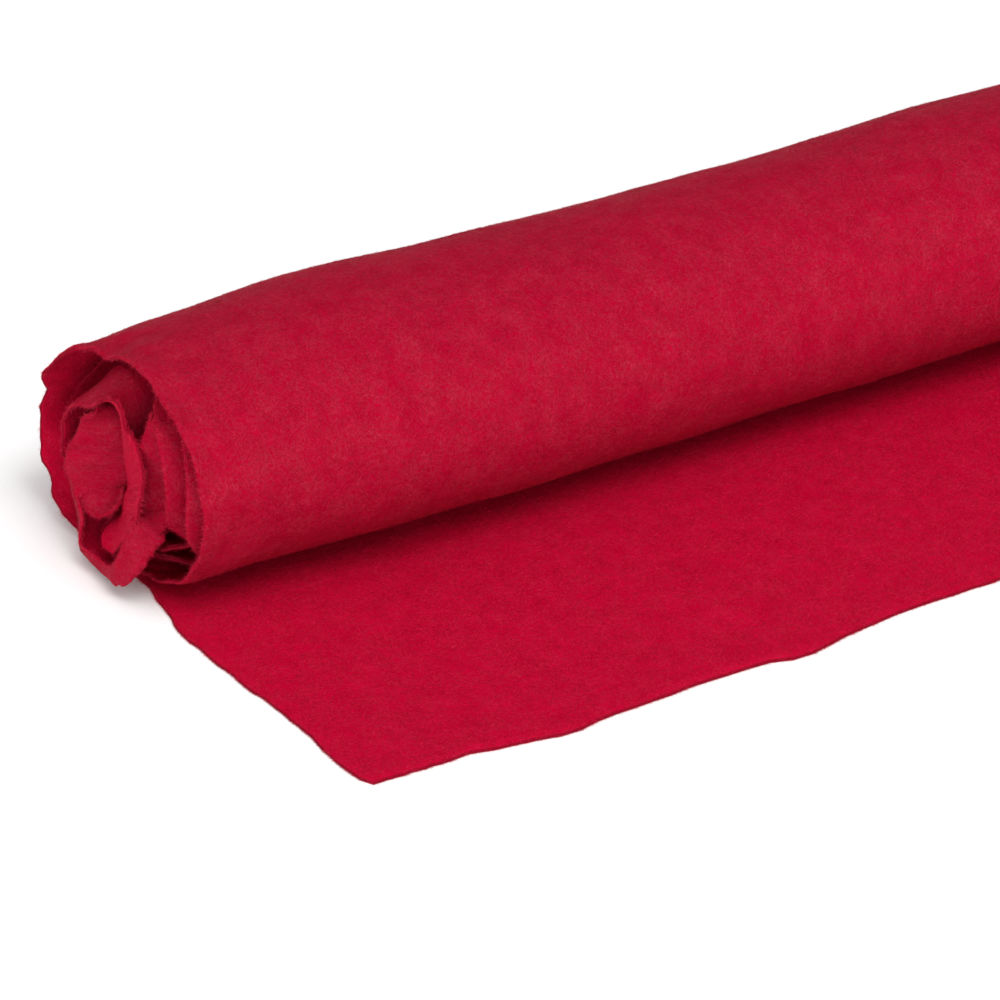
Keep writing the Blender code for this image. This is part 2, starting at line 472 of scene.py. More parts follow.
def along_rows(rows, place, column):
    """Smooth curve through a column of a table whose rows are unevenly spaced."""
    table = np.array(rows)
    return curve(table[:, column], np.interp(place, table[:, 0], np.arange(len(rows))))


def is_inner(turn):
    """1 where the cut edge follows the inner wraps' own places, 0 on the outer wraps."""
    return smooth((turn - INNER_EDGE[0][0]) / JOINS_OVER + 1.0)


def end_push(turn):
    """How far the cut edge stands out past the open end."""
    push = curve(PUSH_POINTS, turn * DIRECTIONS)
    for place, half, out in NICKS:
        push = push + out * bump((turn - place) / half)
    inner = is_inner(turn)
    return push * (1.0 - inner) + along_rows(INNER_EDGE, turn, 1) * inner


def even_depth(turn):
    """Depth under the oval where the roll is even."""
    pitch = curve(PITCH_POINTS, (turn % 1.0) * DIRECTIONS + 1.0)
    settling = smooth((turn - GOES_UNDER) / (1.0 - GOES_UNDER))
    return pitch * np.where(turn > 1.0, turn, settling)


def fold_sink(turn, along):
    """Depth pressed in by the folds, carried on to the wraps inside each."""
    total = np.zeros(np.broadcast(turn, along).shape)
    for place, half, sink, reach in FOLDS:
        wraps_in = np.round(turn - place)
        share = bump((turn - place - wraps_in) / half) * FOLD_CARRIES ** np.maximum(wraps_in, 0.0)
        total += np.where(wraps_in >= 0, sink * share, 0.0) * (1.0 - smooth(along / reach))
    return total


def around(turn, depth):
    """Y and Z of a place on a wrap."""
    angle = 2.0 * math.pi * turn
    radius = oval_radius(angle) - depth
    y = WINDING_Y + radius * np.sin(angle)
    z = WINDING_Z - radius * np.cos(angle)
    return np.stack(np.broadcast_arrays(y, z), axis=-1)


def cut_edge(turn):
    """Y and Z of the cut edge at the open end."""
    wrapped = around(turn, curve(EDGE_POINTS, turn * DIRECTIONS) + fold_sink(turn, 0.0 * turn))
    placed = np.stack((along_rows(INNER_EDGE, turn, 2), along_rows(INNER_EDGE, turn, 3)), axis=-1)
    inner = is_inner(turn)[..., None]
    return wrapped * (1.0 - inner) + placed * inner


def wound_cloth(turn, station, cloth_width):
    """Middle of the cloth's thickness, wound part, from the turn and place along X."""
    push = end_push(turn)
    curl = np.maximum(along_rows(CURL, turn, 1), 0.0)
    fade = np.clip(1.0 - station / PUSH_FADES, 0.0, None)
    recess = FAR_RECESS * turn * smooth(station / cloth_width)
    near_end = np.clip(1.0 - station / END_ZONE, 0.0, None)
    ragged = ripple(turn * EDGE_PER_TURN, EDGE_WAVES, 0.0) * near_end
    along = station - (push + curl) * fade - recess - ragged
    even = smooth(along / EVEN_FROM)
    body = curve(BODY_POINTS, turn * DIRECTIONS)
    depth = body * (1.0 - even) + even_depth(turn) * even + fold_sink(turn, along)
    place = around(turn, depth)
    reach = curve(REACH_POINTS, turn * DIRECTIONS)
    out = np.clip((reach - along) / np.maximum(reach + push, LEAST_RIM), 0.0, 1.0) ** RIM_POWER
    behind = around(turn, body + fold_sink(turn, 0.0 * turn))
    place = place + (cut_edge(turn) - behind) * out[..., None]
    standing = curl - station
    risen = 0.5 * (standing + np.hypot(standing, curl * CURL_BEND))
    leans_to = np.stack((along_rows(CURL, turn, 2), along_rows(CURL, turn, 3)), axis=-1)
    inward = leans_to - cut_edge(turn)
    inward = inward / np.linalg.norm(inward, axis=-1, keepdims=True)
    risen = np.where(curl > 0.0, risen, 0.0)
    place = place + inward * risen[..., None]
    along = along + risen
    angle = 2.0 * math.pi * turn
    swell_top = look_up(SWELL, along, 1) * 0.5 * (1.0 - np.cos(angle))
    swell_front = look_up(SWELL, along, 2) * np.maximum(-np.sin(angle), 0.0) ** FRONT_FULLNESS
    return np.stack((along, place[..., 0] - swell_front, place[..., 1] + swell_top), axis=-1)


def free_cloth(share, station):
    """Middle of the cloth's thickness, free end, from its front edge to the roll."""
    ragged = ripple(station, EDGE_WAVES, 2.0) * (1.0 - share) ** 4
    front = look_up(FREE_FRONT, station, 1) + ragged
    y = front + (WINDING_Y - front) * share
    fade = np.clip(1.0 - station / PUSH_FADES, 0.0, None)
    side = ripple(y, EDGE_WAVES, 1.0) * np.clip(1.0 - station / END_ZONE, 0.0, None)
    along = station - look_up(FREE_SIDE, y, 1) * fade - side
    z = np.zeros_like(along)
    for ridge_x, ridge_y, half_x, half_y, height in RIDGES:
        z += height * bump((along - ridge_x) / half_x) * bump((y - ridge_y) / half_y)
    return np.stack((along, y, z), axis=-1)


def stations(cloth_width):
    """Places across the cloth, close together at both cut edges."""
    rim = np.arange(0.0, RIM_ZONE, RIM_SPACING)
    near = np.arange(RIM_ZONE, END_ZONE, END_SPACING)
    middle = np.linspace(END_ZONE, cloth_width - FAR_ZONE,
                         int((cloth_width - END_ZONE - FAR_ZONE) / FAR_SPACING))
    far = np.linspace(cloth_width - FAR_ZONE, cloth_width, FAR_COLUMNS)[1:]
    return np.concatenate((rim, near, middle, far))


def wound_turns(turns):
    """Places along the wound cloth, closer together on the outer wrap."""
    outer = np.arange(0.0, OUTER_TURNS, 1.0 / OUTER_COLUMNS)
    inner = np.linspace(OUTER_TURNS, turns, int((turns - OUTER_TURNS) * COLUMNS_PER_TURN))
    return np.concatenate((outer, inner))


def cloth_grid(cloth_width, thickness, turns):
    """Middle surface of the whole cloth and how far along and across it each point is."""
    station = stations(cloth_width)[None, :]
    share = (np.arange(FREE_COLUMNS) / FREE_COLUMNS)[:, None]
    turn = wound_turns(turns)[:, None]
    free = free_cloth(share, station)
    wound = wound_cloth(turn, station, cloth_width)
    grid = np.concatenate((free, wound))
    middle_row = grid[:, grid.shape[1] // 2]
    steps = np.linalg.norm(np.diff(middle_row, axis=0), axis=1)
    length = np.concatenate(([0.0], np.cumsum(steps)))[:, None]
    relief = np.zeros(grid.shape[:2])
    for number, (along, across, height) in enumerate(SURFACE_WAVES):
        wave = np.sin(2.0 * math.pi * length / along + number + np.sin(station / across))
        relief += height * wave * np.sin(2.0 * math.pi * station / across + 2.1 * number)
    crumpled = np.clip(1.0 - station / CRUMPLE_ZONE, 0.0, 1.0) ** 1.5
    for number, (along, across, height) in enumerate(CRUMPLES):
        bend_length = CRUMPLE_BEND_LENGTH * along
        bend = CRUMPLE_BEND * np.sin(2.0 * math.pi * length / bend_length + number)
        crest = np.sin(2.0 * math.pi * (length / along + station / across) + bend)
        relief += height * crest * crumpled
    normal = grid_normals(grid)
    uneven = smooth((length - LIES_SMOOTH) / UNEVEN_OVER)
    grid = grid + normal * (relief * uneven)[..., None]
    grid[..., 2] = np.maximum(grid[..., 2], thickness / 2.0)
    flat_along = np.broadcast_to(length, grid.shape[:2])
    flat_across = np.broadcast_to(station, grid.shape[:2])
    return grid, flat_along, flat_across


def grid_normals(grid):
    """Outward directions of the middle surface."""
    normal = np.cross(np.gradient(grid, axis=0), np.gradient(grid, axis=1))
    return normal / np.linalg.norm(normal, axis=2, keepdims=True)


def in_frame(points):
    """Millimetres from the open end to metres in the part's frame."""
    return (points - np.array((ORIGIN_X, ORIGIN_Y, 0.0))) * MM


def rim_loop(rows, columns):
    """Indices round the grid's border."""
    side = [row * columns for row in range(rows)]
    top = [(rows - 1) * columns + column for column in range(1, columns)]
    far = [row * columns + columns - 1 for row in range(rows - 2, -1, -1)]
    low = list(range(columns - 2, 0, -1))
    return side + top + far + low


def thick_cloth(grid, thickness):
    """Closed sheet with rounded cut edges, as points and faces."""
    rows, columns = grid.shape[:2]
    normal = grid_normals(grid)
    half = thickness / 2.0
    outer = (grid + normal * half).reshape(-1, 3)
    inner = (grid - normal * half).reshape(-1, 3)
    inward = np.zeros_like(grid)
    inward[0] = grid[1] - grid[0]
    inward[-1] = grid[-2] - grid[-1]
    inward[:, 0] += grid[:, 1] - grid[:, 0]
    inward[:, -1] += grid[:, -2] - grid[:, -1]
    loop = rim_loop(rows, columns)
    middle = grid.reshape(-1, 3)[loop]
    push = inward.reshape(-1, 3)[loop]
    push /= np.linalg.norm(push, axis=1, keepdims=True)
    rim = middle - push * half * RIM_ROUNDING
    points = np.concatenate((outer, inner, rim))
    count = rows * columns
    faces = []
    for row in range(rows - 1):
        for column in range(columns - 1):
            start = row * columns + column
            face = (start, start + columns, start + columns + 1, start + 1)
            faces.append(face)
            faces.append((face[0] + count, face[3] + count, face[2] + count, face[1] + count))
    for number, start in enumerate(loop):
        following = (number + 1) % len(loop)
        end = loop[following]
        rim_start = 2 * count + number
        rim_end = 2 * count + following
        faces.append((end, start, rim_start, rim_end))
        faces.append((rim_end, rim_start, start + count, end + count))
    return points, faces, loop


def add_piece(name, points, faces, uv_points=None):
    """A new mesh object at the origin."""
    mesh = bpy.data.meshes.new(name)
    mesh.from_pydata(points.tolist(), [], faces)
    mesh.shade_smooth()
    if uv_points is not None:
        layer = mesh.uv_layers.new(name="cloth")
        corners = np.empty(len(mesh.loops), dtype=np.int32)
        mesh.loops.foreach_get("vertex_index", corners)
        layer.data.foreach_set("uv", uv_points[corners].astype(np.float32).ravel())
    piece = bpy.data.objects.new(name, mesh)
    bpy.context.scene.collection.objects.link(piece)
    return piece


# Materials

def paler(colour, times):
    """A colour made lighter by a factor."""
    return tuple(min(part * times, 1.0) for part in colour)


def fill(tree, node, inputs):
    """Set a node's inputs: a pair of node and output is linked, anything else is a value."""
    for key, value in inputs.items():
        if isinstance(value, tuple) and isinstance(value[0], bpy.types.Node):
            source, output = value
            tree.links.new(source.outputs[output], node.inputs[key])
        else:
            node.inputs[key].default_value = value


def add_node(tree, kind, place, inputs=(), **settings):
    """A node with its settings and inputs."""
    node = tree.nodes.new(kind)
    node.location = place
    for name, value in settings.items():
        setattr(node, name, value)
    fill(tree, node, dict(inputs))
    return node


def open_group(name, kind, inputs, outputs):
    """A node group with named inputs and outputs, and the node that hands out its inputs."""
    group = bpy.data.node_groups.new(name, kind)
    for label, socket_type, value in inputs:
        socket = group.interface.new_socket(label, in_out="INPUT", socket_type=socket_type)
        if value is not None:
            socket.default_value = value
    for label, socket_type in outputs:
        group.interface.new_socket(label, in_out="OUTPUT", socket_type=socket_type)
    return group, add_node(group, "NodeGroupInput", (-1300, 0))


def multiply(tree, place, first, second):
    """Product of two values, as a node."""
    return add_node(tree, "ShaderNodeMath", place, {0: first, 1: second}, operation="MULTIPLY")


def soft_range(tree, place, value, limits, most=1.0):
    """Eased rise from 0 to the most between two limits of a value, as a node."""
    return add_node(tree, "ShaderNodeMapRange", place, {
        "Value": value, "From Min": limits[0], "From Max": limits[1], "To Max": most},
        interpolation_type="SMOOTHSTEP")


def painted_sheen_mask(tree, vector, detail, roughness, most):
    """Broad soft patches of painted sheen, as a node and its output."""
    broad = add_node(tree, "ShaderNodeTexNoise", (-500, -640), {
        "Vector": vector, "Scale": PAINTED_SHEEN_SCALE, "Detail": detail, "Roughness": roughness})
    return soft_range(tree, (-280, -640), (broad, "Fac"), PAINTED_SHEEN_RANGE, most), "Result"


def new_material(name):
    """A material with its node tree and its shader."""
    material = bpy.data.materials.new(name)
    material.use_nodes = True
    return material, material.node_tree, material.node_tree.nodes["Principled BSDF"]


def matted_fibres_group():
    """Shader group for felted wool: height, fine strokes, soft patches and the mask of broad painted
    sheen.
    """
    group, ends = open_group(
        "matted fibres", "ShaderNodeTree",
        (("Vector", "NodeSocketVector", None), ("Fibre Scale", "NodeSocketFloat", 640.0),
         ("Patch Scale", "NodeSocketFloat", 140.0)),
        [(name, "NodeSocketFloat") for name in ("Height", "Strokes", "Patches", "Bloom")])
    flat = (ends, "Vector")
    bend = add_node(group, "ShaderNodeTexNoise", (-1000, -300), {
        "Vector": flat, "Scale": STROKE_BEND_SCALE, "Detail": 2.0})
    bent = add_node(group, "ShaderNodeVectorMath", (-820, -300), {
        0: (bend, "Color"), 1: (STROKE_BEND, STROKE_BEND, STROKE_BEND), 2: flat},
        operation="MULTIPLY_ADD")
    layers = []
    for number, angle in enumerate(STROKE_ANGLES):
        level = 300 - 220 * number
        turned = add_node(group, "ShaderNodeVectorRotate", (-620, level), {
            "Vector": (bent, "Vector"), "Angle": math.radians(angle)}, rotation_type="Z_AXIS")
        scaled = add_node(group, "ShaderNodeVectorMath", (-440, level), {
            0: (turned, "Vector"), 1: (STROKE_STRETCH, 1.0, 1.0)}, operation="MULTIPLY")
        layers.append(add_node(group, "ShaderNodeTexNoise", (-260, level), {
            "Vector": (scaled, "Vector"), "Scale": (ends, "Fibre Scale"), "Detail": 2.0,
            "Roughness": 0.6}))
    most = add_node(group, "ShaderNodeMath", (-40, 200), {
        0: (layers[0], "Fac"), 1: (layers[1], "Fac")}, operation="MAXIMUM")
    matted = add_node(group, "ShaderNodeMath", (120, 100), {
        0: (most, "Value"), 1: (layers[2], "Fac")}, operation="MAXIMUM")
    strokes = soft_range(group, (300, 200), (matted, "Value"), STROKE_RANGE)
    mottle = add_node(group, "ShaderNodeTexNoise", (-260, -420), {
        "Vector": flat, "Scale": (ends, "Patch Scale"), "Detail": 3.0})
    patches = soft_range(group, (0, -420), (mottle, "Fac"), PATCH_RANGE)
    height = add_node(group, "ShaderNodeMath", (520, 0), {
        0: (patches, "Result"), 1: PATCH_RELIEF, 2: (strokes, "Result")},
        operation="MULTIPLY_ADD")
    # The Bloom output is the mask of the painted sheen
    add_node(group, "NodeGroupOutput", (900, 0), {
        "Height": (height, "Value"), "Strokes": (strokes, "Result"),
        "Patches": (patches, "Result"), "Bloom": painted_sheen_mask(group, flat, 4.0, 0.62, 1.0)})
    return group


def felt_material(name, group, colours, painted_sheen_share, felt):
    """Felted wool: deep, main and fibre colours, with painted sheen, a pale colour mixed over its
    strokes in broad patches.
    """
    deep, main, fibre, bloom = [(*colour, 1.0) for colour in colours]
    material, tree, shader = new_material(name)
    flat = add_node(tree, "ShaderNodeUVMap", (-900, 0), uv_map="cloth")
    fibres = add_node(tree, "ShaderNodeGroup", (-650, 0), {
        "Vector": (flat, "UV"), "Fibre Scale": felt.fibre_scale,
        "Patch Scale": felt.patch_scale}, node_tree=group)
    base = add_node(tree, "ShaderNodeMix", (-350, 200), {
        "Factor": (fibres, "Patches"), "A": deep, "B": main}, data_type="RGBA")
    raised = multiply(tree, (-350, -60), (fibres, "Strokes"), STROKE_SHARE)
    top = add_node(tree, "ShaderNodeMix", (-100, 200), {
        "Factor": (raised, "Value"), "A": (base, "Result"), "B": fibre}, data_type="RGBA")
    # Painted sheen: the pale colour is mixed over the strokes in broad patches, standing in for the
    # sheen of the wool
    stroke_painted_sheen = add_node(tree, "ShaderNodeMapRange", (-350, -260), {
        "Value": (fibres, "Strokes"), "To Max": CLOTH_PAINTED_SHEEN * painted_sheen_share})
    share = multiply(tree, (-100, -60), (fibres, "Bloom"), (stroke_painted_sheen, "Result"))
    with_painted_sheen = add_node(tree, "ShaderNodeMix", (150, 200), {
        "Factor": (share, "Value"), "A": (top, "Result"), "B": bloom}, data_type="RGBA")
    relief = add_node(tree, "ShaderNodeBump", (400, -200), {
        "Strength": 0.7, "Distance": felt.fibre_relief, "Height": (fibres, "Height")})
    fill(tree, shader, {
        "Base Color": (with_painted_sheen, "Result"), "Normal": (relief, "Normal"), "Roughness": 0.54,
        "Specular IOR Level": felt.gloss, "Sheen Weight": felt.sheen, "Sheen Roughness": 0.4,
        "Sheen Tint": (*felt.sheen_colour, 1.0)})
    return material


def nap_material(name, felt, pale, painted_sheen_share):
    """Loose wool fibres, a little paler than the cloth and each its own shade, with broad patches of
    painted sheen; where pale lightens the inner side's and edge's fibres, that is painted light.
    """
    material, tree, shader = new_material(name)
    place = (add_node(tree, "ShaderNodeTexCoord", (-700, 0)), "Object")
    shade = add_node(tree, "ShaderNodeTexNoise", (-500, 0), {
        "Vector": place, "Scale": SHADE_SCALE, "Detail": 0.0})
    colour = add_node(tree, "ShaderNodeValToRGB", (-280, 0), {"Fac": (shade, "Fac")})
    darkest, lightest = colour.color_ramp.elements
    darkest.position = 0.35
    darkest.color = (*paler(felt.deep_colour, pale * 0.95), 1.0)
    lightest.position = 0.68
    lightest.color = (*paler(felt.nap_colour, pale), 1.0)
    # Painted sheen: a pale colour mixed in by broad patches, standing in for the sheen of the wool
    with_painted_sheen = add_node(tree, "ShaderNodeMix", (60, 0), {
        "Factor": painted_sheen_mask(tree, place, 3.0, 0.5, NAP_PAINTED_SHEEN * painted_sheen_share),
        "A": (colour, "Color"), "B": (*paler(felt.painted_sheen_colour, pale), 1.0)}, data_type="RGBA")
    fill(tree, shader, {
        "Base Color": (with_painted_sheen, "Result"), "Roughness": 0.5,
        "Specular IOR Level": felt.gloss * NAP_GLOSS})
    return material


# Nap

def nap_tree():
    """Geometry Nodes tree: short flat fibres scattered over a patch of cloth."""
    settings = ("Density", "Length", "Width", "Least Lift", "Most Lift", "Roll")
    tree, ends = open_group(
        "felt nap", "GeometryNodeTree",
        [("Geometry", "NodeSocketGeometry", None), ("Seed", "NodeSocketInt", 1),
         ("Material", "NodeSocketMaterial", None)]
        + [(name, "NodeSocketFloat", 0.0) for name in settings],
        [("Geometry", "NodeSocketGeometry")])
    seed = (ends, "Seed")

    clumps = add_node(tree, "ShaderNodeTexNoise", (-1300, 300), {
        "Scale": CLUMP_SCALE, "Detail": 1.0})
    thick = add_node(tree, "ShaderNodeMapRange", (-1120, 300), {
        "Value": (clumps, "Fac"), "From Min": CLUMP_RANGE[0], "From Max": CLUMP_RANGE[1],
        "To Min": CLUMP_AMOUNT[0], "To Max": CLUMP_AMOUNT[1]})
    amount = multiply(tree, (-950, 200), (thick, "Result"), (ends, "Density"))
    spots = add_node(tree, "GeometryNodeDistributePointsOnFaces", (-800, 100), {
        "Mesh": (ends, "Geometry"), "Density": (amount, "Value"), "Seed": seed})

    # One fibre, a flat triangle that is 1 long and 1 wide
    shape = add_node(tree, "GeometryNodeMeshCircle", (-800, -300), {
        "Vertices": 3, "Radius": 1.0}, fill_type="NGON")
    blade = add_node(tree, "GeometryNodeTransform", (-600, -300), {
        "Geometry": (shape, "Mesh"), "Translation": (0.3333, 0.0, 0.0),
        "Scale": (0.6667, 0.577, 1.0)})

    index = add_node(tree, "GeometryNodeInputIndex", (-980, 300))
    own = {"ID": (index, "Index")}
    heading = add_node(tree, "FunctionNodeRandomValue", (-600, 400), {
        2: 0.0, 3: 2.0 * math.pi, "Seed": seed, **own}, data_type="FLOAT")
    least_roll = multiply(tree, (-780, -120), (ends, "Roll"), -1.0)
    limits = (((ends, "Least Lift"), (ends, "Most Lift")), ((least_roll, "Value"), (ends, "Roll")))
    drawn = []
    for number, (least, most) in enumerate(limits):
        own_seed = add_node(tree, "FunctionNodeIntegerMath", (-800, 600 + 100 * number), {
            0: seed, 1: SEED_STEP * (number + 1)}, operation="ADD")
        drawn.append(add_node(tree, "FunctionNodeRandomValue", (-600, 200 - 200 * number), {
            2: least, 3: most, "Seed": (own_seed, "Value"), **own}, data_type="FLOAT"))
    lift, roll = drawn
    tilt = multiply(tree, (-420, 200), (lift, 1), -1.0)
    angles = add_node(tree, "ShaderNodeCombineXYZ", (-240, 300), {
        "X": (roll, 1), "Y": (tilt, "Value"), "Z": (heading, 1)})
    local = add_node(tree, "FunctionNodeEulerToRotation", (-60, 300), {
        "Euler": (angles, "Vector")})
    turned = add_node(tree, "FunctionNodeRotateRotation", (120, 200), {
        "Rotation": (spots, "Rotation"), "Rotate By": (local, "Rotation")},
        rotation_space="LOCAL")

    size = add_node(tree, "FunctionNodeRandomValue", (-240, -100), {
        2: FIBRE_LENGTHS[0], 3: FIBRE_LENGTHS[1], "Seed": seed}, data_type="FLOAT")
    length = multiply(tree, (-60, -100), (size, 1), (ends, "Length"))
    scale = add_node(tree, "ShaderNodeCombineXYZ", (120, -100), {
        "X": (length, "Value"), "Y": (ends, "Width"), "Z": 1.0})
    planted = add_node(tree, "GeometryNodeInstanceOnPoints", (360, 0), {
        "Points": (spots, "Points"), "Instance": (blade, "Geometry"),
        "Rotation": (turned, "Rotation"), "Scale": (scale, "Vector")})
    real = add_node(tree, "GeometryNodeRealizeInstances", (560, 0), {
        "Geometry": (planted, "Instances")})
    dressed = add_node(tree, "GeometryNodeSetMaterial", (760, 0), {
        "Geometry": (real, "Geometry"), "Material": (ends, "Material")})
    add_node(tree, "NodeGroupOutput", (1000, 0), {"Geometry": (dressed, "Geometry")})
    return tree


def grow_nap(name, points, faces, tree, values):
    """Fibres over a patch, made a plain mesh."""
    patch = add_piece(name, points, faces)
    modifier = patch.modifiers.new("nap", "NODES")
    modifier.node_group = tree
    for item in tree.interface.items_tree:
        if item.in_out == "INPUT" and item.name in values:
            modifier[item.identifier] = values[item.name]
    bpy.context.view_layer.update()
    made = bpy.data.meshes.new_from_object(
        patch.evaluated_get(bpy.context.evaluated_depsgraph_get()))
    patch.modifiers.remove(modifier)
    places = np.empty(len(made.vertices) * 3, dtype=np.float32)
    made.vertices.foreach_get("co", places)
    places[2::3] = np.maximum(places[2::3], LEAST_HEIGHT)
    made.vertices.foreach_set("co", places)
    bare = patch.data
    patch.data = made
    made.name = name
    bpy.data.meshes.remove(bare)
    return patch


def grid_patch(surface, rows, columns):
    """Points and faces of a rectangular stretch of a grid."""
    part = surface[rows[0]:rows[1], columns[0]:columns[1]]
    high, wide = part.shape[:2]
    faces = []
    for row in range(high - 1):
        for column in range(wide - 1):
            start = row * wide + column
            faces.append((start, start + wide, start + wide + 1, start + 1))
    return part.reshape(-1, 3), faces


# Properties

class FeltCloth(PropertyGroup):
    """The length of felt."""

    width: FloatProperty(
        name="Width", description="Cloth's width along the roll", default=0.45, unit="LENGTH")
    length: FloatProperty(
        name="Length", description="Cloth's length before it was rolled", default=1.32, unit="LENGTH")
    thickness: FloatProperty(
        name="Thickness", description="Cloth's thickness", default=0.0012, unit="LENGTH")
    turns: FloatProperty(
        name="Turns", description="Times the cloth is wound on itself", default=6.4)
    fibre_scale: FloatProperty(
        name="Fibre Scale", description="Fineness of the matted fibres", default=640.0)
    patch_scale: FloatProperty(
        name="Patch Scale", description="Fineness of the soft patches", default=140.0)
    fibre_relief: FloatProperty(
        name="Fibre Relief", description="Height of the matted fibres", default=0.0004, unit="LENGTH")
    gloss: FloatProperty(
        name="Gloss", description="Faint shine of the wool", default=0.014, subtype="FACTOR")
    sheen: FloatProperty(
        name="Sheen", description="Pale bloom at a low angle", default=0.008, subtype="FACTOR")
    # The cut edge's copy of the felt gets its own brightness, set against how light falls on the rims:
    # at 0.92 it is painted shade
    edge_painted_shade: FloatProperty(
        name="Cut Edge", description="How much lighter the cut edge is", default=0.92)
    # The cut edge's fibres are painted lighter, standing in for light they catch and lifting the shade
    # at the edge: painted light
    edge_nap_painted_light: FloatProperty(
        name="Edge Nap", description="How much lighter the edge's nap is", default=1.35)
    # Strengths of the painted sheen, a pale colour in broad patches standing in for the sheen of the
    # wool, weaker on the inner side
    bloom: FloatProperty(
        name="Bloom", description="How strongly the pale patches show", default=0.75)
    inner_painted_sheen: FloatProperty(
        name="Inner Bloom", description="Pale patches on the inner side", default=0.25)
    # Colour of the painted sheen patches
    painted_sheen_colour: FloatVectorProperty(
        name="Bloom Colour", description="Patches of raised fibre",
        default=(0.43, 0.022, 0.048), subtype="COLOR")
    hair_pale: FloatProperty(
        name="Hairs", description="How much lighter the long hairs are", default=1.25)
    # The inner side's copies of the felt and nap are painted lighter, to make up for the flap getting
    # less light than the roll: painted light
    inner_painted_light: FloatProperty(
        name="Inner Side", description="How much lighter the inner side is", default=1.29)
    deep_colour: FloatVectorProperty(
        name="Deep Colour", description="Darker patches",
        default=(0.33, 0.0001, 0.016), subtype="COLOR")
    felt_colour: FloatVectorProperty(
        name="Felt Colour", description="Main colour", default=(0.385, 0.0002, 0.022), subtype="COLOR")
    fibre_colour: FloatVectorProperty(
        name="Fibre Colour", description="Paler fibres on top",
        default=(0.43, 0.0015, 0.029), subtype="COLOR")
    nap_colour: FloatVectorProperty(
        name="Nap Colour", description="Loose fibres", default=(0.455, 0.0065, 0.038), subtype="COLOR")
    sheen_colour: FloatVectorProperty(
        name="Sheen Colour", description="Colour of the bloom",
        default=(1.0, 0.42, 0.45), subtype="COLOR")


class FeltNap(PropertyGroup):
    """Loose fibres on the cloth."""

    density: FloatProperty(name="Density", description="Fibres to a square metre", default=2.0e6)
    edge_density: FloatProperty(
        name="Edge Density", description="Fibres to a square metre of edge", default=9.0e6)
    length: FloatProperty(
        name="Length", description="Usual length of a fibre", default=0.0018, unit="LENGTH")
    long_density: FloatProperty(
        name="Long Density", description="Long hairs to a square metre", default=0.5e5)
    long_length: FloatProperty(
        name="Long Length", description="Usual length of a long hair", default=0.0032, unit="LENGTH")
    edge_length: FloatProperty(
        name="Edge Length", description="Usual length at a cut edge", default=0.0016, unit="LENGTH")
    lift: FloatProperty(
        name="Lift", description="Most that a fibre rises from the cloth",
        default=0.35, subtype="ANGLE")
    fibre_width: FloatProperty(
        name="Fibre Width", description="Width of a clump of fibres", default=0.00013, unit="LENGTH")
    roll: FloatProperty(
        name="Roll", description="Most that a fibre turns on its own length", default=0.5,
        subtype="ANGLE")
    seed: IntProperty(name="Seed", description="Pattern of the fibres", default=11)


class FeltStage(PropertyGroup):
    """Floor, light and camera."""

    floor_colour: FloatVectorProperty(
        name="Floor Colour", description="Pale floor", default=(0.94, 0.94, 0.94), subtype="COLOR")
    azimuth: FloatProperty(
        name="Azimuth", description="Camera's angle round the roll",
        default=math.radians(-30.5), unit="ROTATION")
    elevation: FloatProperty(
        name="Elevation", description="Camera's angle above the floor",
        default=math.radians(30.0), unit="ROTATION")
    distance: FloatProperty(
        name="Distance", description="From the camera to the roll", default=1.79, unit="LENGTH")
    lens: FloatProperty(name="Lens", description="Focal length in millimetres", default=196.56)
    main_strength: FloatProperty(
        name="Main Light", description="Strength of the main light", default=1.75)
    high_strength: FloatProperty(
        name="High Light", description="Strength of the high light", default=0.7)
    low_strength: FloatProperty(
        name="Low Light", description="Strength of the low light", default=1.4)
    left_strength: FloatProperty(
        name="Left Light", description="Strength of the left light", default=0.66)
    softness: FloatProperty(
        name="Softness", description="Width of each light as an angle",
        default=math.radians(32.0), unit="ROTATION")
    world_strength: FloatProperty(
        name="Surroundings", description="Strength of the soft fill", default=0.38)


# Operators

class FELT_OT_cloth(Operator):
    """Make the wound length of felt"""

    bl_idname = "felt.cloth"
    bl_label = "Cloth"

    def execute(self, context):
        felt = context.scene.felt_cloth
        width = felt.width / MM
        thickness = felt.thickness / MM
        grid, length, across = cloth_grid(width, thickness, felt.turns)
        points, faces, loop = thick_cloth(grid, thickness)
        flat = np.stack((length, across), axis=-1).reshape(-1, 2) * MM
        uv_points = np.concatenate((flat, flat + INNER_SHIFT, flat[loop]))
        cloth = add_piece("felt_cloth", in_frame(points), faces, uv_points)
        group = matted_fibres_group()
        colours = (felt.deep_colour, felt.felt_colour, felt.fibre_colour, felt.painted_sheen_colour)
        # Copies of one felt: the inner side's is painted lighter (painted light) and the cut edge's
        # darker (painted shade), each with painted sheen patches
        sorts = (
            ("red felt", 1.0, felt.bloom),
            ("red felt inside", felt.inner_painted_light, felt.inner_painted_sheen),
            ("red felt cut edge", felt.edge_painted_shade, felt.bloom),
        )
        for name, pale, bloom in sorts:
            shades = [paler(colour, pale) for colour in colours]
            cloth.data.materials.append(felt_material(name, group, shades, bloom, felt))
        sides = np.zeros(len(faces), dtype=np.int32)
        both_sides = 2 * (grid.shape[0] - 1) * (grid.shape[1] - 1)
        sides[1:both_sides:2] = 1
        sides[both_sides:] = 2
        cloth.data.polygons.foreach_set("material_index", sides)
        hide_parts("felt")
        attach(cloth, "root")
        return {"FINISHED"}


